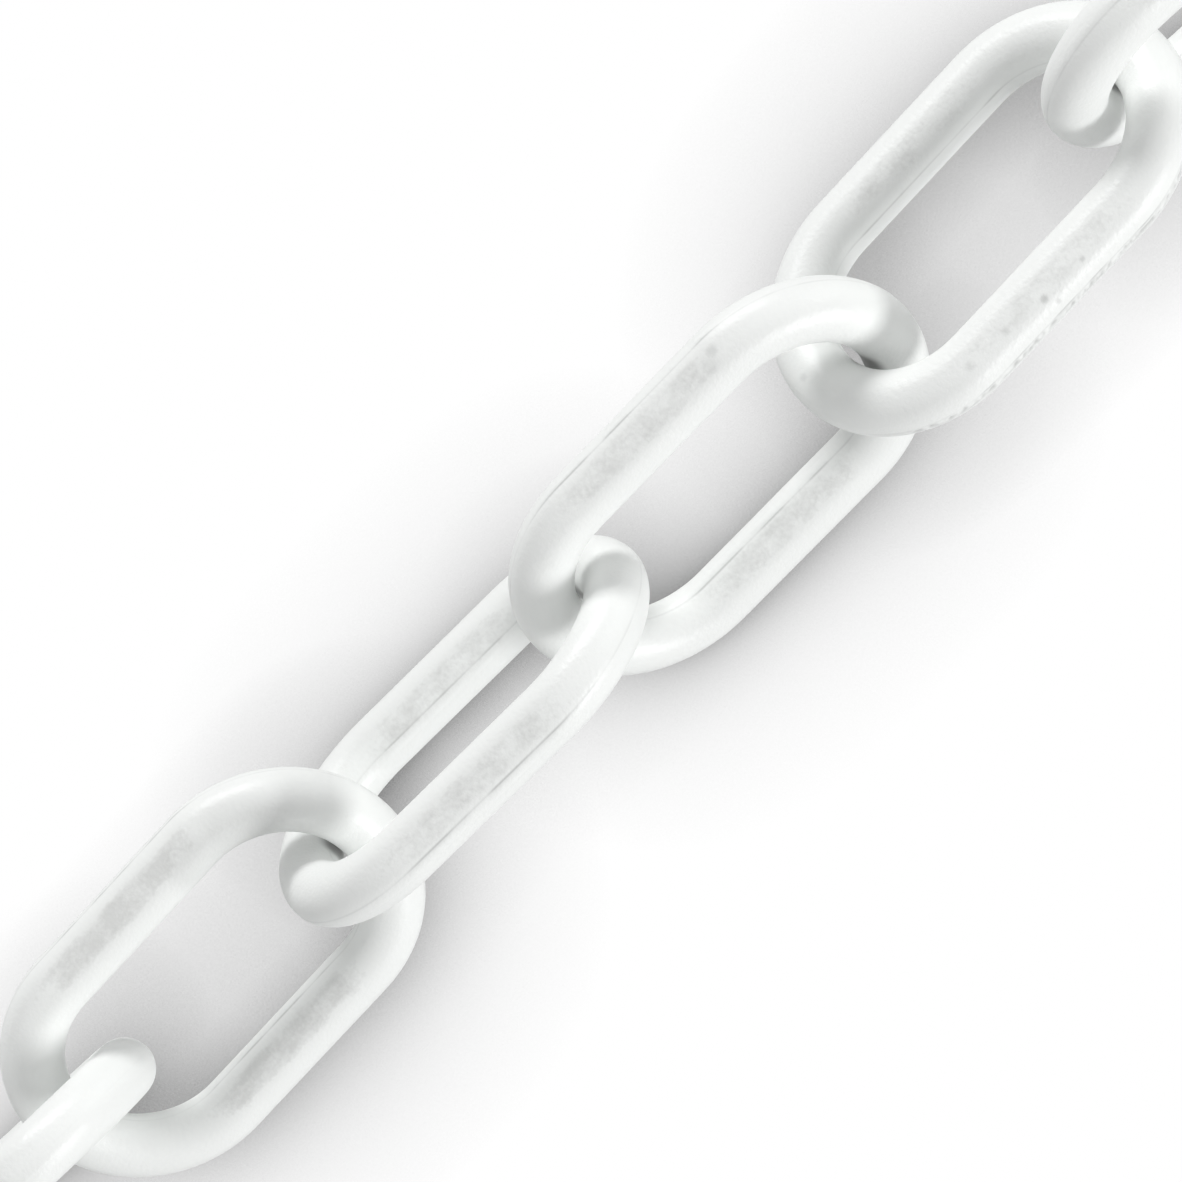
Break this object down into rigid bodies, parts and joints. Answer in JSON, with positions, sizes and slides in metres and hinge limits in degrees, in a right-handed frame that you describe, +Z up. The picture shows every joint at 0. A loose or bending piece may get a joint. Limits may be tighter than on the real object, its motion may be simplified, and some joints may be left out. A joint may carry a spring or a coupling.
{
  "type": "plastic chain",
  "caption": "Straight run of oblong plastic chain links, each one hanging in the next and lying rolled to alternate sides on a flat surface.",
  "frame": {"origin": "under the middle of the chain, on the surface it lies on", "axes": "+X along the chain towards link_6, +Y to the side, +Z up from the surface"},
  "size_m": [0.2032, 0.0248, 0.0271],
  "materials": {
    "white_plastic": "moulded, satin"
  },
  "bodies": {
    "link_3": {"link_3": "white_plastic"},
    "link_2": {"link_2": "white_plastic"},
    "link_1": {"link_1": "white_plastic"},
    "link_4": {"link_4": "white_plastic"},
    "link_5": {"link_5": "white_plastic"},
    "link_6": {"link_6": "white_plastic"}
  },
  "joints": [
    {"name": "link_2_swing", "type": "hinge", "parent": "link_3", "child": "link_2", "pos_m": [-0.0335, 0.001, 0.012], "axis": [0, 0, -1], "range_deg": [-18, 22]},
    {"name": "link_1_swing", "type": "hinge", "parent": "link_2", "child": "link_1", "pos_m": [-0.0635, 0, 0.0125], "axis": [0, 0, -1], "range_deg": [-22, 24]},
    {"name": "link_4_swing", "type": "hinge", "parent": "link_3", "child": "link_4", "pos_m": [0, 0.001, 0.012], "axis": [0, 0, 1], "range_deg": [-18, 24]},
    {"name": "link_5_swing", "type": "hinge", "parent": "link_4", "child": "link_5", "pos_m": [0.034, -0.002, 0.012], "axis": [0, 0, 1], "range_deg": [-20, 20]},
    {"name": "link_6_swing", "type": "hinge", "parent": "link_5", "child": "link_6", "pos_m": [0.062, -0.0005, 0.0125], "axis": [0, 0, 1], "range_deg": [-30, 26]}
  ]
}
